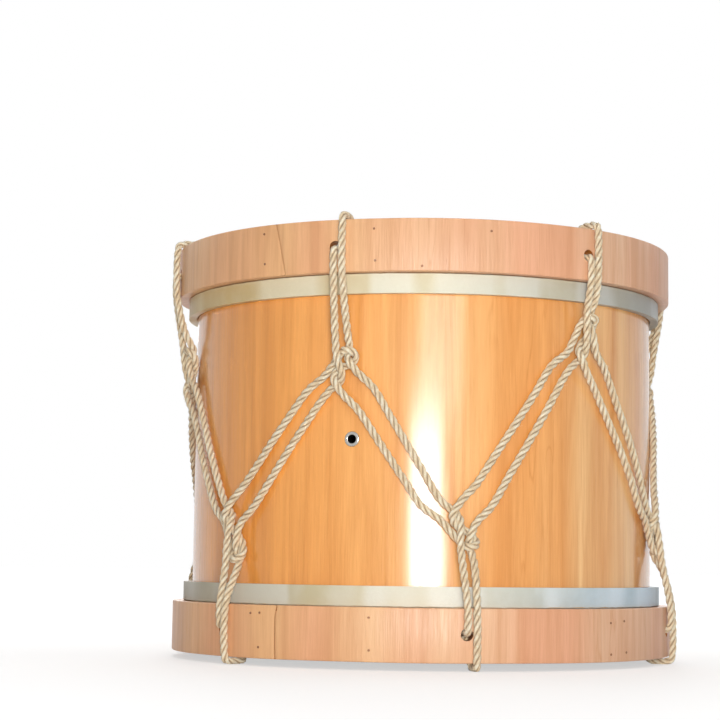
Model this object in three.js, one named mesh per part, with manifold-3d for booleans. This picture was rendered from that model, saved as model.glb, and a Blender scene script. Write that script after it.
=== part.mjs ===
// A rope-tensioned bass drum: a bent wooden shell with a hide head at each end, held by two wooden
// counterhoops that one zigzag lacing rope pulls together and a second rope draws tight.
// Millimetres, +Z up. The drum stands on its bottom rope loops at z = 0, centred on the Z axis.
// Angles are in degrees round the drum: 0 faces -Y, and they grow towards +X.
import * as THREE from 'three';
import { mergeVertices } from 'three/addons/utils/BufferGeometryUtils.js';
import Module from 'manifold-3d';

const wasm = await Module();
wasm.setup();

// Driving dimensions
const shellDiameter = 406.4;
const shellWall = 6;
const shellLength = 293.5;
const bearingEdgeRadius = 3;
const hideThickness = 1.2;
const headRecessDepth = 28;
const hoopHeight = 43;
const hoopThickness = 13;
const hoopClearance = 2.8;
const hoopEdgeRadius = 1.5;
const fleshHoopHeight = 14.7;
const fleshHoopThickness = 4.7;
const ropeDiameter = 6.4;
const ropeHoleDiameter = 10;
const holeToRimDistance = 22.5;
const strandGap = 1;
const stiffenerHeight = 30;
const stiffenerThickness = 8;
const stiffenerInset = 3;
const battenWidth = 40;
const battenThickness = 4;
const ventBore = 7;
const ventFlangeDiameter = 12.8;
const ventFlangeThickness = 1;
const ventBarrelWall = 0.8;
const ventWasherThickness = 0.8;
const nailHeadDiameter = 2.4;
const nailHeadThickness = 0.5;
const nailShankDiameter = 1.2;
const nailLength = 9;
const scarfLap = 45;
const sawCut = 0.4;

// Clearances and overruns
const gap = 0.3;
const ropeLay = 0.5;
const overrun = 2;

// Facet counts
const roundSides = 48;
const smallSides = 20;
const nailSides = 8;
const ropeSides = 8;
// A rope bends at most this many degrees, and runs at most this many diameters, in one step.
const ropeStepBend = 48;
const ropeStepReach = 6;

// Where the ropes go. Each lug is a pair of strands at one hoop; the hitch below it draws them together.
// The holes were marked out by hand, so the lugs are not quite evenly spaced.
// hitchShare is the height of the hitch above or below the middle, as a share of half the shell, and
// hitchSpread is how many rope diameters longer than the tightest hitch it was left.
const topLugs = [
  { angle: -78.5, hitchAngle: -80, hitchShare: 0.38, hitchSpread: 1.2 },
  { angle: -19.9, hitchAngle: -21, hitchShare: 0.335, hitchSpread: 0 },
  { angle: 36.7, hitchAngle: 36, hitchShare: 0.49, hitchSpread: 1.6 },
  { angle: 100, hitchAngle: 98.5, hitchShare: 0.42, hitchSpread: 0.8 },
  { angle: 160, hitchAngle: 158.5, hitchShare: 0.38, hitchSpread: 1.2 },
  { angle: 220.5, hitchAngle: 219, hitchShare: 0.4, hitchSpread: 0.5 },
];
const bottomLugs = [
  { angle: -48.2, hitchAngle: -51.5, hitchShare: 0.43, hitchSpread: 1.9 },
  { angle: 8.5, hitchAngle: 5.3, hitchShare: 0.42, hitchSpread: 0.3 },
  { angle: 72.5, hitchAngle: 69, hitchShare: 0.4, hitchSpread: 1.2 },
  { angle: 131, hitchAngle: 129, hitchShare: 0.4, hitchSpread: 1.4 },
  { angle: 191, hitchAngle: 189.5, hitchShare: 0.42, hitchSpread: 0.6 },
  { angle: 251, hitchAngle: 249.5, hitchShare: 0.4, hitchSpread: 1.1 },
];

// Sizes that follow
const shellRadius = shellDiameter / 2;
const shellInnerRadius = shellRadius - shellWall;
const halfShell = shellLength / 2;
const hideSeatRadius = shellRadius + gap;
const hideOuterRadius = hideSeatRadius + hideThickness;
const hoopInnerRadius = hideOuterRadius + hoopClearance;
const hoopOuterRadius = hoopInnerRadius + hoopThickness;
const headLevel = halfShell + gap + hideThickness;
const rimLevel = headLevel + headRecessDepth;
const hoopFoot = rimLevel - hoopHeight;
const holeLevel = rimLevel - holeToRimDistance;
const ropeRadius = ropeDiameter / 2;
const ropeFlat = ropeDiameter / 10;
const loopLevel = rimLevel + gap + ropeRadius;
const middle = loopLevel + ropeRadius - ropeFlat;
const flatShare = Math.cos(Math.PI / roundSides);
const fullTurn = 360;
const toRadians = 2 * Math.PI / fullTurn;

const drum = new THREE.Group();

// Finishes
function finish(color, roughness, metalness = 0) {
  return new THREE.MeshStandardMaterial({ color, roughness, metalness });
}
const varnishedWood = finish(0xd68a48, 0.25);
const hoopWood = finish(0xe0ab80, 0.45);
const bareWood = finish(0xd8b98c, 0.7);
const hide = finish(0xe9e2cf, 0.6);
const rope = finish(0xcbbb98, 0.85);
const nickel = finish(0xc9ccd0, 0.25, 1);
const steel = finish(0x6d6258, 0.5, 1);

// Shared helpers
function weld(geometry) {
  const bare = geometry.clone();
  bare.deleteAttribute('normal');
  bare.deleteAttribute('uv');
  const welded = mergeVertices(bare);
  const corners = [];
  const index = welded.index;
  for (let i = 0; i < index.count; i += 3) {
    const [a, b, c] = [index.getX(i), index.getX(i + 1), index.getX(i + 2)];
    if (a !== b && b !== c && c !== a) {
      corners.push(a, b, c);
    }
  }
  welded.setIndex(corners);
  return welded;
}

function toSolid(geometry) {
  const welded = weld(geometry);
  const vertProperties = new Float32Array(welded.attributes.position.array);
  const triVerts = new Uint32Array(welded.index.array);
  return new wasm.Manifold(new wasm.Mesh({ numProp: 3, vertProperties, triVerts }));
}

function toGeometry(solid) {
  const mesh = solid.getMesh();
  const geometry = new THREE.BufferGeometry();
  geometry.setAttribute('position', new THREE.BufferAttribute(new Float32Array(mesh.vertProperties), 3));
  geometry.setIndex([...mesh.triVerts]);
  geometry.computeVertexNormals();
  return geometry;
}

function cut(geometry, tools) {
  let solid = toSolid(geometry);
  for (const tool of tools) {
    solid = solid.subtract(toSolid(tool));
  }
  return toGeometry(solid);
}

function join(geometries) {
  let solid = toSolid(geometries[0]);
  for (const other of geometries.slice(1)) {
    solid = solid.add(toSolid(other));
  }
  return toGeometry(solid);
}

function addPart(name, geometry, material) {
  const mesh = new THREE.Mesh(geometry, material);
  mesh.name = name;
  drum.add(mesh);
  return mesh;
}

// Turns a closed outline of [radius, height] points about the Z axis
function turned(outline, sides = roundSides) {
  const points = outline.map(([radius, height]) => new THREE.Vector2(radius, height));
  const onAxis = outline[0][0] === 0;
  if (THREE.ShapeUtils.area(points) < 0) {
    points.reverse();
  }
  if (!onAxis) {
    points.push(points[0].clone());
  }
  return weld(new THREE.LatheGeometry(points, sides).rotateX(Math.PI / 2));
}

// The same for a piece at one end of the drum: side is 1 at the top and -1 at the bottom, and the
// outline's heights are measured from the middle of the drum.
function turnedEnd(outline, side) {
  return turned(outline.map(([radius, level]) => [radius, middle + side * level]));
}

// A point of the drum from its angle, radius and level above the middle.
function place(angle, radius, level) {
  const turn = angle * toRadians;
  return new THREE.Vector3(radius * Math.sin(turn), -radius * Math.cos(turn), middle + level);
}

// Moves a piece made along +Z so that it points outwards from the drum at this angle and level.
function pointOutwards(geometry, angle, radius, level) {
  const at = place(angle, radius, level);
  geometry.rotateX(Math.PI / 2);
  geometry.rotateZ(angle * toRadians);
  return geometry.translate(at.x, at.y, at.z);
}

function radialDrill(diameter, angle, fromRadius, toRadius, level, sides = smallSides) {
  const length = toRadius - fromRadius;
  const drill = new THREE.CylinderGeometry(diameter / 2, diameter / 2, length, sides).rotateX(Math.PI / 2);
  return pointOutwards(drill, angle, (fromRadius + toRadius) / 2, level);
}

// Shell: one bent sheet with rounded bearing edges and a vent hole at mid height
const ventAngle = -18;
const ventLevel = 0;
const ventBarrelRadius = ventBore / 2 + ventBarrelWall;
const shellBlank = turned([
  [shellInnerRadius, middle - halfShell],
  [shellRadius - bearingEdgeRadius, middle - halfShell],
  [shellRadius, middle - halfShell + bearingEdgeRadius],
  [shellRadius, middle + halfShell - bearingEdgeRadius],
  [shellRadius - bearingEdgeRadius, middle + halfShell],
  [shellInnerRadius, middle + halfShell],
]);
const ventDrill = radialDrill(2 * (ventBarrelRadius + gap), ventAngle, shellInnerRadius - overrun,
  shellRadius + overrun, ventLevel);
addPart('shell', cut(shellBlank, [ventDrill]), varnishedWood);

// Stiffening rings glued inside each end of the shell
const stiffenerOuterRadius = shellInnerRadius - gap;
const stiffenerTop = halfShell - stiffenerInset;
const stiffenerOutline = [
  [stiffenerOuterRadius - stiffenerThickness, stiffenerTop - stiffenerHeight],
  [stiffenerOuterRadius, stiffenerTop - stiffenerHeight],
  [stiffenerOuterRadius, stiffenerTop],
  [stiffenerOuterRadius - stiffenerThickness, stiffenerTop],
];
addPart('stiffener_top', turnedEnd(stiffenerOutline, 1), bareWood);
addPart('stiffener_bottom', turnedEnd(stiffenerOutline, -1), bareWood);

// Batten glued over the seam of the shell, inside at the back, between the two rings
const battenRadius = shellInnerRadius * flatShare - gap;
const battenLength = 2 * (stiffenerTop - stiffenerHeight - gap);
const battenHalfTurn = battenWidth / 2 / battenRadius;
const battenOutline = new THREE.Shape();
battenOutline.absarc(0, 0, battenRadius, Math.PI / 2 - battenHalfTurn, Math.PI / 2 + battenHalfTurn, false);
battenOutline.absarc(0, 0, battenRadius - battenThickness, Math.PI / 2 + battenHalfTurn,
  Math.PI / 2 - battenHalfTurn, true);
const batten = new THREE.ExtrudeGeometry(battenOutline, {
  depth: battenLength,
  bevelEnabled: false,
  curveSegments: 3,
});
addPart('seam_batten', weld(batten.translate(0, 0, middle - battenLength / 2)), bareWood);

// Vent eyelet: a flanged metal barrel through the shell, with a washer on the inside
const eyeletTip = shellWall + gap + ventWasherThickness + ventFlangeThickness;
const eyelet = turned([
  [ventBore / 2, -eyeletTip],
  [ventBarrelRadius, -eyeletTip],
  [ventBarrelRadius, 0],
  [ventFlangeDiameter / 2, 0],
  [ventFlangeDiameter / 2 - ventFlangeThickness / 2, ventFlangeThickness],
  [ventBore / 2, ventFlangeThickness],
], smallSides);
addPart('vent_eyelet', pointOutwards(eyelet, ventAngle, shellRadius + gap, ventLevel), nickel);
const washer = turned([
  [ventBarrelRadius + gap, -ventWasherThickness],
  [ventFlangeDiameter / 2, -ventWasherThickness],
  [ventFlangeDiameter / 2, 0],
  [ventBarrelRadius + gap, 0],
], smallSides);
const washerRadius = shellInnerRadius * flatShare - gap;
addPart('vent_washer', pointOutwards(washer, ventAngle, washerRadius, ventLevel), nickel);

// Flesh hoops: the wooden rings that the wet hide is lapped round
const fleshInnerRadius = hideOuterRadius + gap;
const fleshOuterRadius = fleshInnerRadius + fleshHoopThickness;
const fleshTop = hoopFoot - gap;
const fleshFoot = fleshTop - fleshHoopHeight;
const fleshOutline = [
  [fleshInnerRadius, fleshFoot],
  [fleshOuterRadius, fleshFoot],
  [fleshOuterRadius, fleshTop],
  [fleshInnerRadius, fleshTop],
];
addPart('flesh_hoop_top', turnedEnd(fleshOutline, 1), bareWood);
addPart('flesh_hoop_bottom', turnedEnd(fleshOutline, -1), bareWood);

// Heads: hide stretched over the bearing edge, down inside the flesh hoop, under it and up outside
const lapInnerRadius = fleshOuterRadius + gap;
const lapOuterRadius = lapInnerRadius + hideThickness;
const lapFoot = fleshFoot - gap - hideThickness;
const headOutline = [
  [0, headLevel],
  [shellRadius - bearingEdgeRadius, headLevel],
  [hideOuterRadius, headLevel - bearingEdgeRadius - hideThickness],
  [hideOuterRadius, lapFoot + hideThickness],
  [lapInnerRadius, lapFoot + hideThickness],
  [lapInnerRadius, fleshTop],
  [lapOuterRadius, fleshTop],
  [lapOuterRadius, lapFoot + hideThickness],
  [lapInnerRadius, lapFoot],
  [hideSeatRadius, lapFoot],
  [hideSeatRadius, headLevel - bearingEdgeRadius - hideThickness],
  [shellRadius - bearingEdgeRadius, headLevel - hideThickness],
  [0, headLevel - hideThickness],
];
addPart('batter_head', turnedEnd(headOutline, 1), hide);
addPart('bottom_head', turnedEnd(headOutline, -1), hide);

// Strand places at the hoops: a strand goes in at the hole, and comes back over the rim beside it
const strandSpacing = ropeDiameter + strandGap;
const ropeOutRadius = hoopOuterRadius + ropeRadius + gap;
const ropeInRadius = hoopInnerRadius * flatShare - ropeRadius - gap;
const halfLugTurn = strandSpacing / 2 / ropeOutRadius / toRadians;
const holeAngle = (lug) => lug.angle - halfLugTurn;
const loopAngle = (lug) => lug.angle + halfLugTurn;

// Counterhoops: bent strips, scarfed and nailed at the lap, with a hole for the rope at each lug
const scarfAngle = -33.7;
const scarfTurn = scarfLap / hoopOuterRadius / toRadians;
const hoopOutline = [
  [hoopInnerRadius, hoopFoot],
  [hoopOuterRadius - hoopEdgeRadius, hoopFoot],
  [hoopOuterRadius, hoopFoot + hoopEdgeRadius],
  [hoopOuterRadius, rimLevel - hoopEdgeRadius],
  [hoopOuterRadius - hoopEdgeRadius, rimLevel],
  [hoopInnerRadius + hoopEdgeRadius, rimLevel],
  [hoopInnerRadius, rimLevel - hoopEdgeRadius],
];

function scarfSaw(side) {
  const outer = place(scarfAngle, hoopOuterRadius, 0);
  const inner = place(scarfAngle - scarfTurn, hoopInnerRadius * flatShare, 0);
  const along = inner.clone().sub(outer);
  const centre = outer.clone().add(inner).multiplyScalar(1 / 2);
  const saw = new THREE.BoxGeometry(along.length() + 2 * overrun, sawCut, hoopHeight + 2 * overrun);
  saw.rotateZ(Math.atan2(along.y, along.x));
  return saw.translate(centre.x, centre.y, middle + side * (hoopFoot + rimLevel) / 2);
}

// Nails as seen on the front: an angle, and a share of the hoop's height measured from its rim
const topNails = [
  { angle: -38.4, rimShare: 0.17 },
  { angle: -38.1, rimShare: 0.75 },
  { angle: -12.4, rimShare: 0.2 },
  { angle: -12.1, rimShare: 0.8 },
  { angle: 12.2, rimShare: 0.22 },
  { angle: -2.3, rimShare: 0.91 },
];
const bottomNails = [
  { angle: -40.4, rimShare: 0.84 },
  { angle: -37.9, rimShare: 0.85 },
  { angle: -38.1, rimShare: 0.21 },
  { angle: -12.6, rimShare: 0.81 },
  { angle: -12.5, rimShare: 0.22 },
  { angle: 42.4, rimShare: 0.73 },
  { angle: 47, rimShare: 0.76 },
  { angle: 47.8, rimShare: 0.17 },
  { angle: 42.5, rimShare: 0.14 },
];
const nailLevel = (nail) => rimLevel - nail.rimShare * hoopHeight;

function counterhoop(side, lugs, nails) {
  const tools = [scarfSaw(side)];
  for (const lug of lugs) {
    tools.push(radialDrill(ropeHoleDiameter, holeAngle(lug), hoopInnerRadius - overrun,
      hoopOuterRadius + overrun, side * holeLevel, ropeSides));
  }
  for (const nail of nails) {
    tools.push(radialDrill(nailShankDiameter + 2 * gap, nail.angle, hoopOuterRadius - nailLength - gap,
      hoopOuterRadius + overrun, side * nailLevel(nail), nailSides));
  }
  return cut(turnedEnd(hoopOutline, side), tools);
}

addPart('counterhoop_top', counterhoop(1, topLugs, topNails), hoopWood);
addPart('counterhoop_bottom', counterhoop(-1, bottomLugs, bottomNails), hoopWood);

// Hoop nails: a round shank with a flat head that sits on the hoop
function nailShape() {
  return turned([
    [0, -nailLength],
    [nailShankDiameter / 2, -nailLength + nailShankDiameter],
    [nailShankDiameter / 2, 0],
    [nailHeadDiameter / 2, 0],
    [nailHeadDiameter / 2 - nailHeadThickness / 2, nailHeadThickness],
    [0, nailHeadThickness],
  ], nailSides);
}
topNails.forEach((nail, i) => {
  const shape = pointOutwards(nailShape(), nail.angle, hoopOuterRadius + gap, nailLevel(nail));
  addPart(`top_hoop_nail_${i + 1}`, shape, steel);
});
bottomNails.forEach((nail, i) => {
  const shape = pointOutwards(nailShape(), nail.angle, hoopOuterRadius + gap, -nailLevel(nail));
  addPart(`bottom_hoop_nail_${i + 1}`, shape, steel);
});

// Rope routes near a hitch, in rope diameters: [round the drum, away from the middle, off the shell].
// The first two belong to the lacing, on its way to the hole and back from the rim. The third is the
// tension rope: behind the hole strand, over the loop strand, round it, behind both and over again.
const toHoleShares = [
  [-2, -2.4, 0], [-0.8, -1.2, 0], [0.05, -0.45, 0.1], [0.5, 0.3, 0.65], [0.4, 1.1, 1.2],
  [-0.05, 2.4, 1.75], [-0.3, 4, 1.95],
];
const fromLoopShares = [
  [1.4, 5.6, 1.8], [1.45, 4.4, 0.95], [1.4, 3.25, 0.3], [1.4, 2.45, 0.85], [1.9, 1.8, 1.15],
  [3, 0.65, 0.75], [4.5, -1.2, 0.3],
];
const hitchShares = [
  [-4.2, -1.4, 0], [-2.5, 0.4, 0.05], [-1.25, 1.65, 0.2], [-0.1, 2.75, 0.55], [0.5, 3.25, 1.05],
  [1.25, 3.4, 1.55], [2.05, 3.25, 1.3], [2.5, 2.85, 0.65], [2.25, 2.2, 0.1], [1.55, 1.7, 0],
  [0.7, 1.45, 0.05], [-0.1, 1.1, 0.15], [-0.6, 0.5, 0.6], [-0.6, -0.2, 1.15], [-0.15, -0.95, 1.2],
  [0.9, -2.2, 0.75], [2.6, -4, 0.3],
];
// The part of a hitch that its spread draws out
const spreadFrom = 1;
const spreadOver = 1.5;
const ropeSeatRadius = shellRadius + ropeRadius + ropeLay;
const cornerBend = ropeRadius + 2 * gap;
const bendShare = 1 - Math.SQRT1_2;

const hitchLevel = (lug) => lug.hitchShare * halfShell;

// Points near a hitch. The strands lean from it towards their lug, which is seldom right above it.
function nearHitch(shares, lug, side) {
  const reach = hoopFoot - hitchLevel(lug);
  return shares.map(([round, away, off]) => {
    const spread = lug.hitchSpread * THREE.MathUtils.clamp((away - spreadFrom) / spreadOver, 0, 1);
    const rise = (away + spread) * ropeDiameter;
    const lean = (lug.angle - lug.hitchAngle) * Math.max(0, rise / reach);
    const angle = lug.hitchAngle + lean + round * ropeDiameter / ropeSeatRadius / toRadians;
    return place(angle, ropeSeatRadius + off * ropeDiameter, side * (hitchLevel(lug) + rise));
  });
}

// Up the hoop's face, in through its hole and up behind it
function intoHole(lug, side) {
  const angle = holeAngle(lug);
  const foot = hoopFoot + gap;
  const bend = cornerBend * bendShare;
  return [
    place(angle, ropeOutRadius, side * foot),
    place(angle, ropeOutRadius, side * (holeLevel - cornerBend)),
    place(angle, ropeOutRadius - bend, side * (holeLevel - bend)),
    place(angle, ropeOutRadius - cornerBend, side * holeLevel),
    place(angle, ropeInRadius + cornerBend, side * holeLevel),
    place(angle, ropeInRadius + bend, side * (holeLevel + bend)),
    place(angle + halfLugTurn / 4, ropeInRadius, side * (holeLevel + cornerBend)),
  ];
}

// Over the rim and down the hoop's face beside the first strand
function overRim(lug, side) {
  const angle = loopAngle(lug);
  const foot = hoopFoot + gap;
  const bend = cornerBend * bendShare;
  return [
    place(angle - halfLugTurn / 4, ropeInRadius, side * (loopLevel - cornerBend)),
    place(angle, ropeInRadius + bend, side * (loopLevel - bend)),
    place(angle, ropeInRadius + cornerBend, side * loopLevel),
    place(angle, ropeOutRadius - cornerBend, side * loopLevel),
    place(angle, ropeOutRadius - bend, side * (loopLevel - bend)),
    place(angle, ropeOutRadius, side * (loopLevel - cornerBend)),
    place(angle, ropeOutRadius, side * foot),
  ];
}

// A slanting run that lies on the shell between two points of it
function alongShell(from, to, count) {
  const angleOf = (point) => Math.atan2(point.x, -point.y) / toRadians;
  const start = angleOf(from);
  const turn = (angleOf(to) - start + fullTurn) % fullTurn;
  const points = [];
  for (let i = 1; i <= count; i++) {
    const share = i / (count + 1);
    points.push(place(start + turn * share, ropeSeatRadius, from.z + (to.z - from.z) * share - middle));
  }
  return points;
}

// A rope's centre line, with its steps closer together where it bends
class RopeLine extends THREE.Curve {
  constructor(points) {
    super();
    this.spline = new THREE.CatmullRomCurve3(points, false, 'centripetal');
    this.stations = [0];
    const spans = points.length - 1;
    for (let i = 0; i < spans; i++) {
      const bend = this.spline.getTangent(i / spans).angleTo(this.spline.getTangent((i + 1) / spans));
      const reach = points[i].distanceTo(points[i + 1]);
      const bendSteps = Math.round(bend / toRadians / ropeStepBend);
      const reachSteps = Math.ceil(reach / ropeDiameter / ropeStepReach);
      const steps = Math.max(1, bendSteps, reachSteps);
      for (let j = 1; j <= steps; j++) {
        this.stations.push((i + j / steps) / spans);
      }
    }
  }

  get steps() {
    return this.stations.length - 1;
  }

  spot(t) {
    const i = Math.min(Math.floor(t * this.steps), this.steps - 1);
    return this.stations[i] + (this.stations[i + 1] - this.stations[i]) * (t * this.steps - i);
  }

  getPoint(t, target) {
    return this.spline.getPoint(this.spot(t), target);
  }

  getPointAt(t, target) {
    return this.getPoint(t, target);
  }

  getTangentAt(t, target) {
    return this.spline.getTangent(this.spot(t), target);
  }
}

function ropeTube(points) {
  const line = new RopeLine(points);
  const section = new THREE.Shape();
  for (let i = 0; i < ropeSides; i++) {
    const turn = (i + 1 / 2) * 2 * Math.PI / ropeSides;
    const corner = [ropeRadius * Math.cos(turn), ropeRadius * Math.sin(turn)];
    if (i === 0) {
      section.moveTo(...corner);
    } else {
      section.lineTo(...corner);
    }
  }
  section.closePath();
  return weld(new THREE.ExtrudeGeometry(section, {
    steps: line.steps,
    extrudePath: line,
    bevelEnabled: false,
  }));
}

// A lump where a rope's two ends are tied, sized [round the drum, radially, upwards] and turned to face out
function knotLump(angle, radius, level, size) {
  const lump = new THREE.SphereGeometry(1, ropeSides + 2, ropeSides - 2).scale(...size);
  lump.rotateZ(angle * toRadians);
  const at = place(angle, radius, level);
  return lump.translate(at.x, at.y, at.z);
}

const lugsInOrder = topLugs.flatMap((lug, i) => [
  { lug, side: 1 },
  { lug: bottomLugs[i], side: -1 },
]);
const knotIndex = 8;
const startingAt = (index) => [...lugsInOrder.slice(index), ...lugsInOrder.slice(0, index)];
const groundSlab = new THREE.BoxGeometry(4 * hoopOuterRadius, 4 * hoopOuterRadius, ropeDiameter)
  .translate(0, 0, -ropeDiameter / 2);

// Lacing rope: one line zigzagging between the hoops, its ends knotted inside the top rim at the back
const lacingOrder = startingAt(knotIndex);
const knotLug = lacingOrder[0].lug;
const knotRadius = ropeInRadius - ropeRadius;
const knotLevel = (holeLevel + loopLevel) / 2;
const knotSize = [1.2 * ropeDiameter, 0.75 * ropeDiameter, ropeDiameter];
const knotCentre = place(knotLug.angle, knotRadius, knotLevel);
const lacing = [knotCentre];
lacingOrder.forEach(({ lug, side }, i) => {
  if (i > 0) {
    const arriving = nearHitch(toHoleShares, lug, side);
    lacing.push(...alongShell(lacing[lacing.length - 1], arriving[0], 3), ...arriving);
    lacing.push(...intoHole(lug, side));
  }
  lacing.push(...overRim(lug, side), ...nearHitch(fromLoopShares, lug, side));
});
const lastRun = nearHitch(toHoleShares, knotLug, 1);
lacing.push(...alongShell(lacing[lacing.length - 1], lastRun[0], 3), ...lastRun);
lacing.push(...intoHole(knotLug, 1), knotCentre);
const lacingSolid = join([ropeTube(lacing), knotLump(knotLug.angle, knotRadius, knotLevel, knotSize)]);
addPart('lacing_rope', cut(lacingSolid, [groundSlab]), rope);

// Tension rope: runs beside the lacing and hitches each lug, its ends knotted on the shell at the back
const tension = [];
startingAt(knotIndex + 1).forEach(({ lug, side }, i) => {
  const hitch = nearHitch(hitchShares, lug, side);
  if (i > 0) {
    tension.push(...alongShell(tension[tension.length - 1], hitch[0], 3));
  }
  tension.push(...hitch);
});
const closingRun = alongShell(tension[tension.length - 1], tension[0], 3);
const tieSpot = closingRun[1];
const tensionRoute = [tieSpot, closingRun[2], ...tension, closingRun[0], tieSpot];
const tieAngle = Math.atan2(tieSpot.x, -tieSpot.y) / toRadians;
const tieLevel = tieSpot.z - middle;
const tieSize = [ropeDiameter, 0.72 * ropeDiameter, 1.1 * ropeDiameter];
const tieRadius = shellRadius + gap + tieSize[1];
const tailShares = [
  [[0, 0, 0.2], [-0.4, -1.3, 0.1], [-0.5, -2.8, 0], [-0.2, -4.4, 0]],
  [[0, 0, 0.2], [-1.4, -0.8, 0.1], [-2.4, -2, 0], [-2.6, -3.6, 0]],
];
const tails = tailShares.map((shares) => ropeTube(shares.map(([round, up, off]) => place(
  tieAngle + round * ropeDiameter / ropeSeatRadius / toRadians,
  ropeSeatRadius + off * ropeDiameter,
  tieLevel + up * ropeDiameter,
))));
const tieLump = knotLump(tieAngle, tieRadius, tieLevel, tieSize);
addPart('tension_rope', join([ropeTube(tensionRoute), tieLump, ...tails]), rope);

export default drum;
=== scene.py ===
"""An alfaia: a bent wooden drum shell with hide heads, two counterhoops and hitched rope lacing.

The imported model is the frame. Every visible piece is built at its place in the frame, in metres,
in the order in which the drum is put together. Angles go round the drum: 0 faces -Y, growing to +X.
"""

import math
import random

import bpy
import numpy as np
from mathutils import Matrix, Vector, noise


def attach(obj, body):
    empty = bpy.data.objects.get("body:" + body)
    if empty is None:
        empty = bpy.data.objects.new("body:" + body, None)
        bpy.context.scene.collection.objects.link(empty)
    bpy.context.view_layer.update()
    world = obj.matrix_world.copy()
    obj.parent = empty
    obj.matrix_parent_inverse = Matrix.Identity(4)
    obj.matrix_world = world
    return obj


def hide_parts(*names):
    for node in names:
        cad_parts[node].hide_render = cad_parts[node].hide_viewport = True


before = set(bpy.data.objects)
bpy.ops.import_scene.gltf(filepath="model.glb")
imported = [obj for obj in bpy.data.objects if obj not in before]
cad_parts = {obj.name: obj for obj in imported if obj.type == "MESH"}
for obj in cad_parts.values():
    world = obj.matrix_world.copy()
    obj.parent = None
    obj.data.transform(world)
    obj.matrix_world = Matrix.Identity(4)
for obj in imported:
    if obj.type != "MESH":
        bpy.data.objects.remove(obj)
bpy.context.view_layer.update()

# The shell is one sheet of pale hardwood, steamed, bent round and glued to itself at the back. Its
# two ends are rounded off as bearing edges, and it is stained honey and varnished to a high gloss.
shell_radius = 0.2032
shell_wall = 0.006
half_shell = 0.14675
middle = 0.18231
bearing_radius = 0.003
round_sides = 288
hole_sides = 32
weld_distance = 0.00002
honey = (0.93, 0.40, 0.095, 1)
# Painted light: the paler honey of the varnish, where the shell's right side is painted as lit
# more.
painted_light_honey = (0.97, 0.65, 0.31, 1)
amber = (0.60, 0.21, 0.035, 1)
red_amber = (0.82, 0.33, 0.075, 1)


def place(angle, radius, level):
    """A point of the drum, from its angle in degrees, radius, and level above the middle."""
    turn = math.radians(angle)
    return Vector((radius * math.sin(turn), -radius * math.cos(turn), middle + level))


def clear_selection():
    if bpy.context.mode != "OBJECT":
        bpy.ops.object.mode_set(mode="OBJECT")
    bpy.ops.object.select_all(action="DESELECT")


def select_only(piece):
    clear_selection()
    piece.select_set(True)
    bpy.context.view_layer.objects.active = piece


def rounded(outline, radius, closed=True, steps=4):
    """The outline with each corner replaced by a short arc."""
    corners = [Vector(point) for point in outline]
    count = len(corners)
    points = []
    for i, corner in enumerate(corners):
        if not closed and i in (0, count - 1):
            points.append(corner)
            continue
        back = corners[i - 1] - corner
        ahead = corners[(i + 1) % count] - corner
        reach = min(radius, back.length / 2, ahead.length / 2)
        start, end = corner + back.normalized() * reach, corner + ahead.normalized() * reach
        for step in range(steps + 1):
            share = step / steps
            points.append(
                (1 - share) ** 2 * start + 2 * share * (1 - share) * corner + share**2 * end
            )
    return points


def raise_rings(name, outline, closed=True, centre_fill=False, sides=round_sides):
    """One circle, extruded and resized from point to point of an outline of (radius, height)."""
    clear_selection()
    radius, height = outline[0]
    bpy.ops.mesh.primitive_circle_add(
        vertices=sides,
        radius=radius,
        fill_type="TRIFAN" if centre_fill else "NOTHING",
        location=(0, 0, height),
    )
    piece = bpy.context.object
    piece.name = name
    bpy.ops.object.transform_apply(location=True, rotation=True, scale=True)
    bpy.ops.object.mode_set(mode="EDIT")
    bpy.ops.mesh.select_all(action="SELECT")
    if centre_fill:
        bpy.ops.mesh.region_to_loop()
    bpy.ops.mesh.select_mode(type="EDGE")
    for next_radius, next_height in outline[1:] + (outline[:1] if closed else []):
        rise = (0, 0, next_height - height)
        bpy.ops.mesh.extrude_edges_move(TRANSFORM_OT_translate={"value": rise})
        grow = next_radius / radius
        bpy.ops.transform.resize(value=(grow, grow, 1), center_override=(0, 0, next_height))
        radius, height = next_radius, next_height
    bpy.ops.mesh.select_all(action="SELECT")
    bpy.ops.mesh.remove_doubles(threshold=weld_distance)
    bpy.ops.mesh.normals_make_consistent(inside=False)
    bpy.ops.object.mode_set(mode="OBJECT")
    return piece


def cut_away(piece, cutters):
    """Takes the cutters out of the piece, one after another, and throws them away."""
    for cutter in cutters:
        select_only(piece)
        cut = piece.modifiers.new("cut", "BOOLEAN")
        cut.operation = "DIFFERENCE"
        cut.solver = "EXACT"
        cut.object = cutter
        bpy.ops.object.modifier_apply(modifier=cut.name)
        bpy.data.objects.remove(cutter)


def drill(diameter, angle, from_radius, to_radius, level):
    """A rod that points out of the drum, as a cutter for a round hole."""
    clear_selection()
    bpy.ops.mesh.primitive_cylinder_add(
        vertices=hole_sides,
        radius=diameter / 2,
        depth=to_radius - from_radius,
        location=place(angle, (from_radius + to_radius) / 2, level),
        rotation=(math.pi / 2, 0, math.radians(angle)),
    )
    return bpy.context.object


def give_material(piece, material):
    piece.data.materials.clear()
    piece.data.materials.append(material)


def hand_over(piece, material, nodes, smooth_angle=35):
    """Smooths a finished piece, gives it its material and puts it in the place of its CAD nodes."""
    select_only(piece)
    bpy.ops.object.shade_smooth_by_angle(angle=math.radians(smooth_angle))
    give_material(piece, material)
    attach(piece, "root")
    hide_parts(*nodes)


def new_material(name):
    """A new material, its node tree and its shader."""
    material = bpy.data.materials.new(name)
    material.use_nodes = True
    tree = material.node_tree
    return material, tree, tree.nodes["Principled BSDF"]


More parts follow.
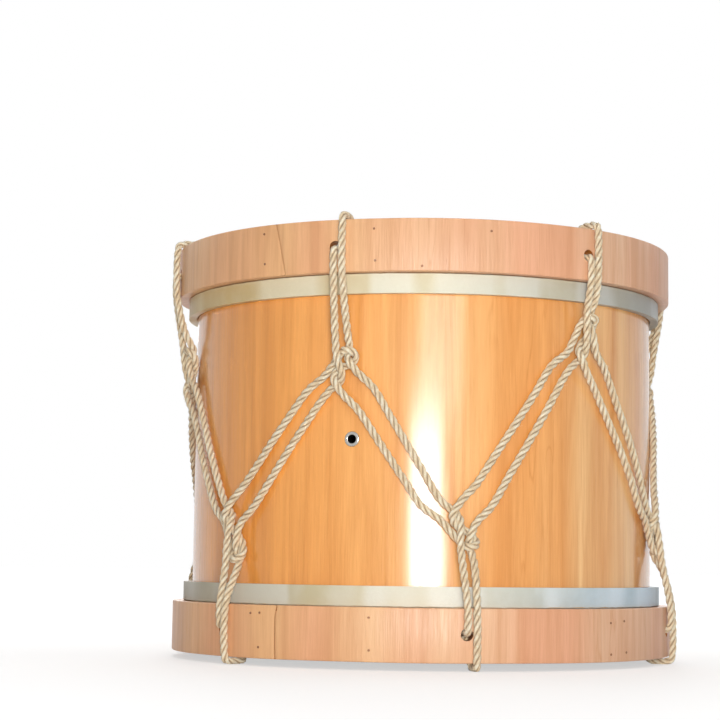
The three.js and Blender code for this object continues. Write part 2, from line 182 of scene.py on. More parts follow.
def new_group(name, inputs, outputs):
    """An empty shader group with these named inputs, each (name, kind, value), and outputs."""
    group = bpy.data.node_groups.new(name, "ShaderNodeTree")
    for label, kind, value in inputs:
        socket = group.interface.new_socket(label, in_out="INPUT", socket_type=kind)
        socket.default_value = value
    for label, kind in outputs:
        group.interface.new_socket(label, in_out="OUTPUT", socket_type=kind)
    return group, group.nodes.new("NodeGroupInput"), group.nodes.new("NodeGroupOutput")


def feed(tree, socket, value):
    """Gives a socket a plain value, or links another socket to it."""
    if isinstance(value, bpy.types.NodeSocket):
        tree.links.new(value, socket)
    else:
        socket.default_value = value


def object_place(tree):
    """Where each point of the piece lies, so that a pattern keeps its place on the piece."""
    return tree.nodes.new("ShaderNodeTexCoord").outputs["Object"]


def stretched(tree, vector, scale):
    """The vector scaled on each axis: a pattern is drawn out where the scale is small."""
    node = tree.nodes.new("ShaderNodeMapping")
    node.inputs["Scale"].default_value = scale
    tree.links.new(vector, node.inputs["Vector"])
    return node.outputs["Vector"]


def split(tree, vector):
    node = tree.nodes.new("ShaderNodeSeparateXYZ")
    tree.links.new(vector, node.inputs[0])
    return list(node.outputs)


def math_node(tree, operation, first, second=None):
    node = tree.nodes.new("ShaderNodeMath")
    node.operation = operation
    feed(tree, node.inputs[0], first)
    if second is not None:
        feed(tree, node.inputs[1], second)
    return node.outputs[0]


def times(tree, first, second):
    return math_node(tree, "MULTIPLY", first, second)


def mixed(tree, share, first, second):
    """A colour between two others, each a colour or a socket."""
    node = tree.nodes.new("ShaderNodeMix")
    node.data_type = "RGBA"
    share_socket, first_colour, second_colour = 0, 6, 7
    feed(tree, node.inputs[share_socket], share)
    feed(tree, node.inputs[first_colour], first)
    feed(tree, node.inputs[second_colour], second)
    return node.outputs[2]


def spread(tree, value, low, high):
    """Stretches the part of a value between low and high to 0 to 1."""
    node = tree.nodes.new("ShaderNodeMapRange")
    tree.links.new(value, node.inputs["Value"])
    node.inputs["From Min"].default_value = low
    node.inputs["From Max"].default_value = high
    return node.outputs[0]


def noise_node(tree, vector, scale, detail=3.0, roughness=0.5, distortion=0.0):
    node = tree.nodes.new("ShaderNodeTexNoise")
    tree.links.new(vector, node.inputs["Vector"])
    feed(tree, node.inputs["Scale"], scale)
    node.inputs["Detail"].default_value = detail
    node.inputs["Roughness"].default_value = roughness
    node.inputs["Distortion"].default_value = distortion
    return node.outputs["Fac"]


def noise_mask(tree, vector, scale, low, high, **kind):
    """A mask from a noise: 0 where the noise is under low, and 1 where it is over high."""
    return spread(tree, noise_node(tree, vector, scale, **kind), low, high)


def set_gloss(tree, shader, mask, glossiest, dullest):
    """Lets a mask carry the surface from its glossiest to its dullest roughness."""
    node = tree.nodes.new("ShaderNodeMapRange")
    node.inputs["To Min"].default_value = glossiest
    node.inputs["To Max"].default_value = dullest
    tree.links.new(mask, node.inputs["Value"])
    tree.links.new(node.outputs[0], shader.inputs["Roughness"])


def set_relief(tree, shader, height, strength, depth):
    node = tree.nodes.new("ShaderNodeBump")
    node.inputs["Strength"].default_value = strength
    node.inputs["Distance"].default_value = depth
    tree.links.new(height, node.inputs["Height"])
    tree.links.new(node.outputs["Normal"], shader.inputs["Normal"])


# Wood with its grain running upright: broad bands of tone, streaks along them and fine fibres, and
# now and then a fleck or a wandering vein.
wood_grain, grain_in, grain_out = new_group(
    "wood_grain",
    [
        ("Vector", "NodeSocketVector", (0, 0, 0)),
        ("Light", "NodeSocketColor", honey),
        ("Dark", "NodeSocketColor", amber),
        ("Tint", "NodeSocketColor", red_amber),
        ("Streaks", "NodeSocketFloat", 60.0),
        ("Contrast", "NodeSocketFloat", 1.0),
    ],
    [("Color", "NodeSocketColor"), ("Height", "NodeSocketFloat"), ("Fibre", "NodeSocketFloat")],
)
long_grain = stretched(wood_grain, grain_in.outputs["Vector"], (1, 1, 0.045))
short_grain = stretched(wood_grain, grain_in.outputs["Vector"], (1, 1, 0.08))
streak_scale = grain_in.outputs["Streaks"]
fibres_per_streak = 9.0
fibre_scale = times(wood_grain, streak_scale, fibres_per_streak)
streaks = noise_mask(
    wood_grain,
    long_grain,
    scale=streak_scale,
    low=0.38,
    high=0.64,
    detail=5,
    roughness=0.6,
    distortion=0.5,
)
fibres = noise_mask(
    wood_grain, long_grain, scale=fibre_scale, low=0.35, high=0.7, roughness=0.6
)
bands = noise_mask(wood_grain, long_grain, scale=13.0, low=0.38, high=0.64, detail=2)
flecks = noise_mask(
    wood_grain,
    short_grain,
    scale=90.0,
    low=0.55,
    high=0.75,
    detail=4,
    roughness=0.65,
    distortion=0.4,
)
wander = noise_node(wood_grain, short_grain, scale=42.0, distortion=1.2)
off_line = math_node(wood_grain, "ABSOLUTE", math_node(wood_grain, "SUBTRACT", wander, 0.5))
vein_edge, vein_core = 0.014, 0.002
line = spread(wood_grain, off_line, vein_edge, vein_core)
rarely = noise_mask(wood_grain, short_grain, scale=15.0, low=0.56, high=0.66, detail=2)
veins = times(wood_grain, line, rarely)
tone = grain_in.outputs["Light"]
for mask, strength, toward in (
    (bands, 0.8, "Tint"),
    (streaks, 0.55, "Dark"),
    (fibres, 0.2, "Dark"),
    (flecks, 0.35, "Dark"),
    (veins, 0.4, "Dark"),
):
    share = times(wood_grain, times(wood_grain, mask, grain_in.outputs["Contrast"]), strength)
    tone = mixed(wood_grain, share, tone, grain_in.outputs[toward])
wood_grain.links.new(tone, grain_out.inputs["Color"])
wood_grain.links.new(math_node(wood_grain, "ADD", streaks, fibres), grain_out.inputs["Height"])
wood_grain.links.new(fibres, grain_out.inputs["Fibre"])
grain_depth = 0.0004
# Where the painted light across the drum starts, at the left, and where it is full, at the right.
painted_shade_left, painted_light_right = -0.12, 0.15


def wooden(name, light, pale, dark, tint, streaks, contrast, gloss, bump):
    """A wood material: the grain group in its own colours, with the fibres in gloss and relief.

    Across the drum, from left to right, it goes from its light colour to its pale one: painted
    light and painted sheen, as if the right side is lit more.
    """
    material, tree, shader = new_material(name)
    grain = tree.nodes.new("ShaderNodeGroup")
    grain.node_tree = wood_grain
    here = object_place(tree)
    tree.links.new(here, grain.inputs["Vector"])
    painted_side_light = spread(tree, split(tree, here)[0], painted_shade_left, painted_light_right)
    tree.links.new(mixed(tree, painted_side_light, light, pale), grain.inputs["Light"])
    grain.inputs["Dark"].default_value = dark
    grain.inputs["Tint"].default_value = tint
    grain.inputs["Streaks"].default_value = streaks
    grain.inputs["Contrast"].default_value = contrast
    tree.links.new(grain.outputs["Color"], shader.inputs["Base Color"])
    set_gloss(tree, shader, grain.outputs["Fibre"], *gloss)
    set_relief(tree, shader, grain.outputs["Height"], bump, grain_depth)
    return material, shader


varnished_wood, varnish = wooden(
    "varnished_wood",
    light=honey,
    pale=painted_light_honey,
    dark=amber,
    tint=red_amber,
    streaks=62,
    contrast=1.0,
    gloss=(0.24, 0.36),
    bump=0.35,
)
varnish.inputs["Coat Weight"].default_value = 0.9
varnish.inputs["Coat Roughness"].default_value = 0.15
varnish.inputs["Coat IOR"].default_value = 1.47
varnish.inputs["Specular IOR Level"].default_value = 0.05

# The rings close to both ends of the wall keep its shading straight from end to end.
shell_bore = shell_radius - shell_wall
straight = half_shell - 2 * bearing_radius
shell = raise_rings(
    "drum_shell",
    rounded(
        [
            (shell_bore, middle - half_shell),
            (shell_radius, middle - half_shell),
            (shell_radius, middle - straight),
            (shell_radius, middle + straight),
            (shell_radius, middle + half_shell),
            (shell_bore, middle + half_shell),
            (shell_bore, middle + straight),
            (shell_bore, middle - straight),
        ],
        bearing_radius,
    ),
)
vent_angle = -18.0
vent_hole = 0.0092
past_shell = 0.004
vent_from, vent_to = shell_radius - 2 * shell_wall, shell_radius + past_shell
cut_away(shell, [drill(vent_hole, vent_angle, vent_from, vent_to, 0.0)])
hand_over(shell, varnished_wood, ["shell"])

# The stiffening rings, the batten over the shell's seam and the flesh hoops are sawn strips of the
# same wood, left bare because the finished drum hides them. Their CAD solids stay as they are.
bare_wood, _ = wooden(
    "bare_wood",
    light=(0.68, 0.52, 0.32, 1),
    pale=(0.70, 0.55, 0.36, 1),
    dark=(0.47, 0.31, 0.16, 1),
    tint=(0.62, 0.44, 0.26, 1),
    streaks=80,
    contrast=0.9,
    gloss=(0.6, 0.8),
    bump=0.4,
)
inner_rings = ["stiffener_top", "stiffener_bottom", "flesh_hoop_top", "flesh_hoop_bottom"]
for node in inner_rings + ["seam_batten"]:
    give_material(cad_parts[node], bare_wood)

# The vent eyelet is a nickel-plated brass barrel, rolled over at the front into a domed flange and
# spread at the back over a washer. It lines the hole that lets the air out of the closed drum.
vent_bore = 0.0035
barrel_radius = 0.0043
flange_radius = 0.0064
flange_height = 0.0010
flange_roll = 0.0006
eyelet_reach = 0.0081
clearance = 0.0003
nickel, tree, shader = new_material("nickel")
shader.inputs["Base Color"].default_value = (0.42, 0.41, 0.38, 1)
shader.inputs["Metallic"].default_value = 1.0
tarnish = noise_mask(tree, object_place(tree), scale=900, low=0.3, high=0.7, detail=4)
set_gloss(tree, shader, tarnish, glossiest=0.16, dullest=0.34)
eyelet = raise_rings(
    "vent_eyelet_rolled",
    rounded(
        [
            (vent_bore, -eyelet_reach),
            (barrel_radius, -eyelet_reach),
            (barrel_radius, 0),
            (flange_radius, 0),
            (flange_radius - flange_roll, flange_height),
            (vent_bore, flange_height),
        ],
        flange_roll,
        steps=3,
    ),
    sides=48,
)


def turn_outwards(piece, angle, radius, level):
    """Moves a piece made along +Z so that it points out of the drum, and settles it there."""
    select_only(piece)
    piece.rotation_euler = (math.pi / 2, 0, math.radians(angle))
    piece.location = place(angle, radius, level)
    bpy.ops.object.transform_apply(location=True, rotation=True, scale=True)


turn_outwards(eyelet, vent_angle, shell_radius + clearance, 0)
hand_over(eyelet, nickel, ["vent_eyelet"], smooth_angle=50)
give_material(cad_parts["vent_washer"], nickel)

# The heads are goat hides, shaved, soaked and lapped round the flesh hoops, then dried tight over
# the bearing edges. The lap shows as a cream band under each counterhoop, trimmed with a knife.
hide_thickness = 0.0012
head_level = half_shell + clearance + hide_thickness
hoop_foot = 0.13325
hide_inner = shell_radius + clearance
lap_outer = 0.2112
lap_top = hoop_foot - clearance
lap_foot = 0.11675
lap_bend = 0.0016
lap_swell = 0.00022
broad_swell, fine_swell = 24, 60
trim_depth = 0.0011
trim_share = 0.75
broad_trim, fine_trim = 90, 300
face_rings = (0.01, 0.05, 0.09, 0.13, 0.165)
face_edge = 0.195
hide, tree, shader = new_material("hide")
here = object_place(tree)
drawn_down = stretched(tree, here, (1, 1, 0.12))
laps = noise_mask(tree, drawn_down, scale=19, low=0.46, high=0.54, detail=1, roughness=0.4)
blotches = noise_mask(tree, here, scale=34, low=0.36, high=0.66, roughness=0.55)
clouds = noise_mask(tree, drawn_down, scale=7, low=0.38, high=0.62, detail=2)
pores = noise_mask(tree, here, scale=420, low=0.3, high=0.75, detail=4, roughness=0.6)
over_the_lap, on_the_lap = 0.148, 0.13
# Where the laps' painted shade comes in at the left, and their painted cool reflection at the
# right.
shade_from, shade_to = -0.04, -0.21
reflection_from, reflection_to = 0.0, 0.19
fade = 0.01
sideways, _, upright = split(tree, here)
height = math_node(tree, "ABSOLUTE", math_node(tree, "SUBTRACT", upright, middle))
lap_part = spread(tree, height, over_the_lap, on_the_lap)
left_painted_shade = times(tree, spread(tree, sideways, shade_from, shade_to), lap_part)
right_painted_reflection = times(tree, spread(tree, sideways, reflection_from, reflection_to), lap_part)
batter_part = spread(tree, upright, middle - fade, middle + fade)


def lap_with_painted_sides(bottom, batter):
    """The colours of each lap at its left, centre and right. The left is painted shade, darker and
    yellower; the right is painted cool reflection, grey on the batter lap and bluish on the bottom
    one.
    """
    hides = []
    for left, centre, right in (bottom, batter):
        hides.append(mixed(tree, right_painted_reflection, mixed(tree, left_painted_shade, centre, left), right))
    return mixed(tree, batter_part, *hides)


# Each lap colour is the hide's own at the centre, with painted shade at the left and painted cool
# reflection at the right.
lap_skin = lap_with_painted_sides(
    bottom=[(0.38, 0.35, 0.26, 1), (0.64, 0.58, 0.40, 1), (0.42, 0.64, 0.86, 1)],
    batter=[(0.58, 0.40, 0.15, 1), (0.64, 0.57, 0.37, 1), (0.38, 0.41, 0.38, 1)],
)
fat = lap_with_painted_sides(
    bottom=[(0.40, 0.36, 0.22, 1), (0.60, 0.51, 0.27, 1), (0.40, 0.52, 0.58, 1)],
    batter=[(0.60, 0.43, 0.17, 1), (0.60, 0.50, 0.25, 1), (0.32, 0.32, 0.29, 1)],
)
cream = lap_with_painted_sides(
    bottom=[(0.54, 0.52, 0.44, 1), (0.77, 0.76, 0.66, 1), (0.66, 0.80, 0.92, 1)],
    batter=[(0.74, 0.62, 0.37, 1), (0.77, 0.76, 0.63, 1), (0.47, 0.49, 0.48, 1)],
)
face_skin = (0.84, 0.79, 0.64, 1)
pore_colour = (0.52, 0.42, 0.28, 1)
face_patches, more_on_the_lap = 0.18, 0.62
blotch_strength, pore_strength = 0.4, 0.10
patchy = math_node(tree, "ADD", times(tree, lap_part, more_on_the_lap), face_patches)
skin = mixed(tree, lap_part, face_skin, lap_skin)
clouded = mixed(tree, times(tree, clouds, patchy), skin, fat)
creamy = mixed(tree, times(tree, laps, patchy), clouded, cream)
mottled = mixed(tree, times(tree, blotches, blotch_strength), creamy, cream)
pored = mixed(tree, times(tree, pores, pore_strength), mottled, pore_colour)
tree.links.new(pored, shader.inputs["Base Color"])
shader.inputs["Specular IOR Level"].default_value = 0.25
set_gloss(tree, shader, blotches, glossiest=0.34, dullest=0.55)
set_relief(tree, shader, math_node(tree, "ADD", pores, blotches), strength=0.25, depth=0.0003)


def clamped(value):
    return min(1.0, max(0.0, value))


def head(name, side, node):
    """The hide's under side as one sheet, from its middle to the trimmed lap, then its wall."""
    levels = [
        (face_edge, head_level - hide_thickness),
        (shell_radius - bearing_radius, head_level - hide_thickness),
        (hide_inner, head_level - hide_thickness - bearing_radius),
        (hide_inner, lap_foot),
        (lap_outer, lap_foot),
        (lap_outer, (lap_foot + lap_top) / 2),
        (lap_outer, lap_top - trim_depth),
        (lap_outer, lap_top),
    ]
    sheet = [(r, middle + side * level) for r, level in levels]
    face = [(r, sheet[0][1]) for r in face_rings]
    bend = rounded(sheet[:5], lap_bend, closed=False)
    piece = raise_rings(name, face + bend + sheet[5:], closed=False, centre_fill=True)
    for vertex in piece.data.vertices:
        at = vertex.co
        radius = math.hypot(at.x, at.y)
        if radius < lap_outer - 0.0005:
            continue
        around = Vector((at.x, at.y, side)) / radius
        away = (at.z - middle) * side
        rise = clamped((away - lap_foot) / (lap_top - lap_foot))
        wave = noise.noise(around * broad_swell) + 0.5 * noise.noise(around * fine_swell)
        push = lap_swell * rise * wave
        at.x *= 1 + push / radius
        at.y *= 1 + push / radius
        if away > lap_top - 0.0001:
            wave = 0.5 * noise.noise(around * broad_trim) + 0.4 * noise.noise(around * fine_trim)
            at.z -= side * trim_depth * trim_share * clamped(0.5 + wave)
    select_only(piece)
    bpy.ops.object.mode_set(mode="EDIT")
    bpy.ops.mesh.select_all(action="SELECT")
    bpy.ops.mesh.normals_make_consistent(inside=False)
    bpy.ops.object.mode_set(mode="OBJECT")
    middle_face = min(piece.data.polygons, key=lambda polygon: polygon.center.xy.length)
    thick = piece.modifiers.new("thickness", "SOLIDIFY")
    thick.thickness = hide_thickness
    thick.offset = 1.0 if middle_face.normal.z * side > 0 else -1.0
    bpy.ops.object.modifier_apply(modifier=thick.name)
    hand_over(piece, hide, [node])


head("batter_hide", 1, "batter_head")
head("bottom_hide", -1, "bottom_head")

# The counterhoops are strips of pinkish bendy wood, glued and nailed at a scarf where their ends
# meet. Each is bored for the rope at six lugs, marked out by hand, so they are not quite even.
hoop_inner = 0.2075
hoop_outer = 0.2205
rim_level = 0.17625
hoop_edge = 0.0014
hoop_waves = 9
hoop_warp = 0.0003
hoop_swell = 0.0012
rope_diameter = 0.0064
rope_radius = rope_diameter / 2
rope_hole = 0.010
past_hoop = 0.002
strand_gap = 0.001
hole_level = 0.15375
rope_out = hoop_outer + rope_radius + clearance
strand_turn = math.degrees((rope_diameter + strand_gap) / 2 / rope_out)

# Each lug has the angles of its holes and of its hitch, the share of the way from the middle of
# the shell to its end where the hitch sits, and how far it is drawn out, in rope diameters.
top_lugs = [
    {"angle": -78.5, "hitch": -80, "share": 0.38, "spread": 1.2},
    {"angle": -19.9, "hitch": -21, "share": 0.335, "spread": 0},
    {"angle": 36.7, "hitch": 36, "share": 0.49, "spread": 1.6},
    {"angle": 100, "hitch": 98.5, "share": 0.42, "spread": 0.8},
    {"angle": 160, "hitch": 158.5, "share": 0.38, "spread": 1.2},
    {"angle": 220.5, "hitch": 219, "share": 0.4, "spread": 0.5},
]
bottom_lugs = [
    {"angle": -48.2, "hitch": -51.5, "share": 0.43, "spread": 1.9},
    {"angle": 8.5, "hitch": 5.3, "share": 0.42, "spread": 0.3},
    {"angle": 72.5, "hitch": 69, "share": 0.4, "spread": 1.2},
    {"angle": 131, "hitch": 129, "share": 0.4, "spread": 1.4},
    {"angle": 191, "hitch": 189.5, "share": 0.42, "spread": 0.6},
    {"angle": 251, "hitch": 249.5, "share": 0.4, "spread": 1.1},
]

# What differs between the seams of the hoops goes by side: 1 is the top, -1 the bottom.
scarf_angle = -33.7
scarf_middle, scarf_span = scarf_angle - 6, 7
scarf_lap = 0.045
scarf_lean = {1: 13.0, -1: 0.0}
scarf_curl = {1: 0.0, -1: 0.0009}
scarf_shade = {1: 0.8, -1: 0.9}
saw_cut = {1: 0.0005, -1: 0.0006}
blade_overrun, blade_height, blade_cuts = 0.012, 0.060, 31
curl_up_from, curl_up = 0.5, 4
curl_down_from, curl_down = 0.6, 2
cut_depth = 0.0006
cut_colour = (0.40, 0.13, 0.02, 1)
# The hoops' pale colour is greyer: painted light and painted cool reflection on their right side.
hoop_wood, hoop_shader = wooden(
    "hoop_wood",
    light=(0.87, 0.51, 0.25, 1),
    pale=(0.82, 0.59, 0.40, 1),
    dark=(0.57, 0.25, 0.11, 1),
    tint=(0.78, 0.36, 0.21, 1),
    streaks=70,
    contrast=0.9,
    gloss=(0.3, 0.46),
    bump=0.3,
)
hoop_shader.inputs["Specular IOR Level"].default_value = 0.3


def painted(tree, attribute):
    """A value that the mesh carries from point to point for its material."""
    node = tree.nodes.new("ShaderNodeAttribute")
    node.attribute_name = attribute
    return node.outputs["Fac"]


tree = hoop_wood.node_tree
grain_colour = hoop_shader.inputs["Base Color"].links[0].from_socket
darkened = mixed(tree, painted(tree, "inside_cuts"), grain_colour, cut_colour)
tree.links.new(darkened, hoop_shader.inputs["Base Color"])


def scarf_saw(side):
    """A thin blade that leans on the hoop's face and runs aslant through its thickness."""
    outer = place(scarf_angle, hoop_outer, side * (hoop_foot + rim_level) / 2)
    inner = place(scarf_angle - math.degrees(scarf_lap / hoop_outer), hoop_inner, 0)
    run = Vector((inner.x - outer.x, inner.y - outer.y, 0))
    clear_selection()
    bpy.ops.mesh.primitive_cube_add(size=1, location=(0, 0, 0))
    blade = bpy.context.object
    blade.scale = (run.length + blade_overrun, saw_cut[side], blade_height)
    bpy.ops.object.transform_apply(location=False, rotation=False, scale=True)
    bpy.ops.object.mode_set(mode="EDIT")
    bpy.ops.mesh.select_all(action="SELECT")
    bpy.ops.mesh.subdivide(number_cuts=blade_cuts)
    bpy.ops.object.mode_set(mode="OBJECT")
    half_hoop = (rim_level - hoop_foot) / 2
    for vertex in blade.data.vertices:
        share = vertex.co.z / half_hoop
        upper = max(0.0, share - curl_up_from) ** 2 * curl_up
        lower = max(0.0, -share - curl_down_from) ** 2 * curl_down
        vertex.co.y -= scarf_curl[side] * (upper + lower)
    centre = outer + run / 2
    lean = Matrix.Rotation(math.radians(scarf_lean[side]), 4, place(scarf_angle, 1, -middle))
    blade.matrix_world = (
        Matrix.Translation(outer)
        @ lean
        @ Matrix.Translation(centre - outer)
        @ Matrix.Rotation(math.atan2(run.y, run.x), 4, "Z")
    )
    return blade


def angle_of(point):
    return math.degrees(math.atan2(point.x, -point.y))


def counterhoop(name, side, lugs, node):
    """A strip bent round, a little uneven, with its seam and its rope holes cut and marked."""
    outline = rounded(
        [
            (hoop_inner, hoop_foot),
            (hoop_outer, hoop_foot),
            (hoop_outer, rim_level),
            (hoop_inner, rim_level),
        ],
        hoop_edge,
        steps=3,
    )
    piece = raise_rings(name, [(r, middle + side * level) for r, level in outline])
    for vertex in piece.data.vertices:
        around = Vector((vertex.co.x, vertex.co.y, 0.2 * side)) * hoop_waves
        vertex.co.z += hoop_warp * noise.noise(around)
        swell = 1 + hoop_swell * noise.noise(around + Vector((0, 0, 3)))
        if vertex.co.xy.length > (hoop_inner + hoop_outer) / 2:
            vertex.co.x *= swell
            vertex.co.y *= swell
    cutters = [scarf_saw(side)]
    bore_from, bore_to = hoop_inner - past_hoop, hoop_outer + past_hoop
    for lug in lugs:
        hole_angle = lug["angle"] - strand_turn
        cutters.append(drill(rope_hole, hole_angle, bore_from, bore_to, side * hole_level))
    cut_away(piece, cutters)
    marks = piece.data.attributes.new("inside_cuts", "FLOAT", "CORNER")
    for face in piece.data.polygons:
        deep = hoop_inner + cut_depth < face.center.xy.length < hoop_outer - cut_depth
        bored = abs(abs(face.center.z - middle) - hole_level) <= rope_hole / 2
        in_scarf = abs(angle_of(face.center) - scarf_middle) < scarf_span
        sawn = in_scarf and abs(face.normal.z) < 0.2
        if deep and (bored or sawn):
            for loop in face.loop_indices:
                marks.data[loop].value = scarf_shade[side] if sawn else 1.0
    hand_over(piece, hoop_wood, [node], smooth_angle=30)


counterhoop("top_counterhoop", 1, top_lugs, "counterhoop_top")
counterhoop("bottom_counterhoop", -1, bottom_lugs, "counterhoop_bottom")

# The hoop nails are small wire nails, driven through the face of each hoop beside its joints.
# Their low heads are dull with rust. Each is given by its angle and its share of the hoop's height.
nail_head = 0.001
nail_shank = 0.0006
nail_length = 0.009
nail_point = 0.0016
nail_proud = 0.0005
nail_outline = [
    (0.0002, -nail_length),
    (nail_shank, -nail_length + nail_point),
    (nail_shank, 0),
    (nail_head * 0.94, 0),
    (nail_head, nail_proud * 0.4),
    (nail_head * 0.8, nail_proud),
    (nail_head * 0.3, nail_proud * 0.92),
    (0.0001, nail_proud * 0.88),
]
steel, tree, shader = new_material("steel")
shader.inputs["Metallic"].default_value = 1.0
rust = noise_mask(tree, object_place(tree), scale=1500, low=0.35, high=0.65, detail=4)
rusted = mixed(tree, rust, (0.34, 0.21, 0.14, 1), (0.30, 0.13, 0.06, 1))
tree.links.new(rusted, shader.inputs["Base Color"])
set_gloss(tree, shader, rust, glossiest=0.4, dullest=0.8)
top_nails = [
    (-38.4, 0.17),
    (-38.1, 0.75),
    (-12.4, 0.2),
    (-12.1, 0.8),
    (12.2, 0.22),
    (-2.3, 0.91),
]
bottom_nails = [
    (-40.4, 0.84),
    (-37.9, 0.85),
    (-38.1, 0.21),
    (-12.6, 0.81),
    (-12.5, 0.22),
    (42.4, 0.73),
    (47, 0.76),
    (47.8, 0.17),
    (42.5, 0.14),
]
first_nail = raise_rings("first_nail", nail_outline, sides=16)
for end, side, nails in (("top", 1, top_nails), ("bottom", -1, bottom_nails)):
    for count, (angle, rim_share) in enumerate(nails, 1):
        nail = bpy.data.objects.new(f"{end}_nail_{count}", first_nail.data.copy())
        bpy.context.scene.collection.objects.link(nail)
        level = side * (rim_level - rim_share * (rim_level - hoop_foot))
        turn_outwards(nail, angle, hoop_outer + clearance, level)
        hand_over(nail, steel, [f"{end}_hoop_nail_{count}"], smooth_angle=60)
bpy.data.objects.remove(first_nail)

# The ropes are three-strand natural fibre, laid right-handed and a little hairy. Painted shade
# darkens the lay, and a painted highlight lightens the crowns of the strands.
# First their routes, as points of the drum. They follow the CAD solids, with tighter hitches.
rope_in = 0.20356
shell_gap = 0.0005
rope_seat = shell_radius + rope_radius + shell_gap
loop_level = rim_level + clearance + rope_radius
rope_bend = rope_radius + 2 * clearance
bend_cut = rope_bend * (1 - math.sqrt(0.5))
pulled_down = 0.0015
run_points = 3

# The rope near a hitch, point by point in rope diameters, as near_hitch reads it: down to a hole,
# down from a loop over the rim, and the turns of the hitch itself.
to_hole = [
    (-2, -2.4, 0),
    (-0.8, -1.2, 0),
    (0.05, -0.45, 0.1),
    (0.5, 0.3, 0.65),
    (0.4, 1.1, 1.2),
    (-0.05, 2.4, 1.75),
    (-0.3, 4, 1.95),
]
from_loop = [
    (1.4, 5.6, 1.8),
    (1.45, 4.4, 0.95),
    (1.4, 3.25, 0.3),
    (1.4, 2.45, 0.85),
    (1.9, 1.8, 1.15),
    (3, 0.65, 0.75),
    (4.5, -1.2, 0.3),
]
hitch_turns = [
    (-4.2, -1.4, 0),
    (-2.5, 0.4, 0.05),
    (-1.25, 1.65, 0.2),
    (-0.1, 2.75, 0.55),
    (0.5, 3.25, 1.05),
    (1.25, 3.4, 1.55),
    (2.05, 3.25, 1.3),
    (2.5, 2.85, 0.65),
    (2.25, 2.2, 0.1),
    (1.55, 1.7, 0),
    (0.7, 1.45, 0.05),
    (-0.1, 1.1, 0.15),
    (-0.6, 0.5, 0.6),
    (-0.6, -0.2, 1.15),
    (-0.15, -0.95, 1.2),
    (0.9, -2.2, 0.75),
    (2.6, -4, 0.3),
]
hitch_foot = -1
hitch_middle = 0.8
hitch_pull = 0.8
loose_from, loose_over = 1, 1.5


def near_hitch(turns, lug, side):
    """Points in rope diameters round the drum, away from its middle and off the shell.

    A hitch left looser is drawn out above its lower turn, and its strands lean towards their lug.
    """
    points = []
    level = lug["share"] * half_shell
    for around, away, off in turns:
        if away > hitch_foot:
            around = hitch_middle + (around - hitch_middle) * hitch_pull
            off *= hitch_pull
        loosened = away + lug["spread"] * clamped((away - loose_from) / loose_over)
        rise = loosened * rope_diameter
        lean = (lug["angle"] - lug["hitch"]) * max(0.0, rise / (hoop_foot - level))
        angle = lug["hitch"] + lean + math.degrees(around * rope_diameter / rope_seat)
        points.append(place(angle, rope_seat + off * rope_diameter, side * (level + rise)))
    return points


def into_hole(lug, side):
    angle = lug["angle"] - strand_turn
    level = hole_level - pulled_down
    return [
        place(angle, rope_out, side * (hoop_foot + clearance)),
        place(angle, rope_out, side * (level - rope_bend)),
        place(angle, rope_out - bend_cut, side * (level - bend_cut)),
        place(angle, rope_out - rope_bend, side * level),
        place(angle, rope_in + rope_bend, side * level),
        place(angle, rope_in + bend_cut, side * (level + bend_cut)),
        place(angle + strand_turn / 4, rope_in, side * (level + rope_bend)),
    ]


def over_rim(lug, side):
    angle = lug["angle"] + strand_turn
    return [
        place(angle - strand_turn / 4, rope_in, side * (loop_level - rope_bend)),
        place(angle, rope_in + bend_cut, side * (loop_level - bend_cut)),
        place(angle, rope_in + rope_bend, side * loop_level),
        place(angle, rope_out - rope_bend, side * loop_level),
        place(angle, rope_out - bend_cut, side * (loop_level - bend_cut)),
        place(angle, rope_out, side * (loop_level - rope_bend)),
        place(angle, rope_out, side * (hoop_foot + clearance)),
    ]


def along_shell(start, end):
    """A slanting run on the shell between two points of it, without its ends."""
    turn = (angle_of(end) - angle_of(start)) % 360
    points = []
    for step in range(1, run_points + 1):
        share = step / (run_points + 1)
        level = start.z + (end.z - start.z) * share - middle
        points.append(place(angle_of(start) + turn * share, rope_seat, level))
    return points


def smooth_line(points, spacing):
    """A centripetal curve through the points, as even steps of about the spacing."""
    knots = [2 * points[0] - points[1]] + points + [2 * points[-1] - points[-2]]
    fine = []
    for i in range(1, len(knots) - 2):
        p0, p1, p2, p3 = (np.array(knots[j]) for j in range(i - 1, i + 3))
        t0, t1, t2 = (np.linalg.norm(b - a) ** 0.5 for a, b in ((p0, p1), (p1, p2), (p2, p3)))
        leave = ((p1 - p0) / t0 - (p2 - p0) / (t0 + t1) + (p2 - p1) / t1) * t1
        arrive = ((p2 - p1) / t1 - (p3 - p1) / (t1 + t2) + (p3 - p2) / t2) * t1
        steps = max(4, int(np.linalg.norm(p2 - p1) / spacing * 2))
        share = (np.arange(steps) / steps)[:, None]
        fine.append(
            p1
            + leave * share
            + (-3 * p1 + 3 * p2 - 2 * leave - arrive) * share**2
            + (2 * p1 - 2 * p2 + leave + arrive) * share**3
        )
    fine = np.vstack(fine + [np.array(points[-1])[None]])
    reach = np.concatenate([[0], np.cumsum(np.linalg.norm(np.diff(fine, axis=0), axis=1))])
    even = np.linspace(0, reach[-1], int(reach[-1] / spacing) + 1)
    return np.stack([np.interp(even, reach, fine[:, axis]) for axis in range(3)], axis=1), even


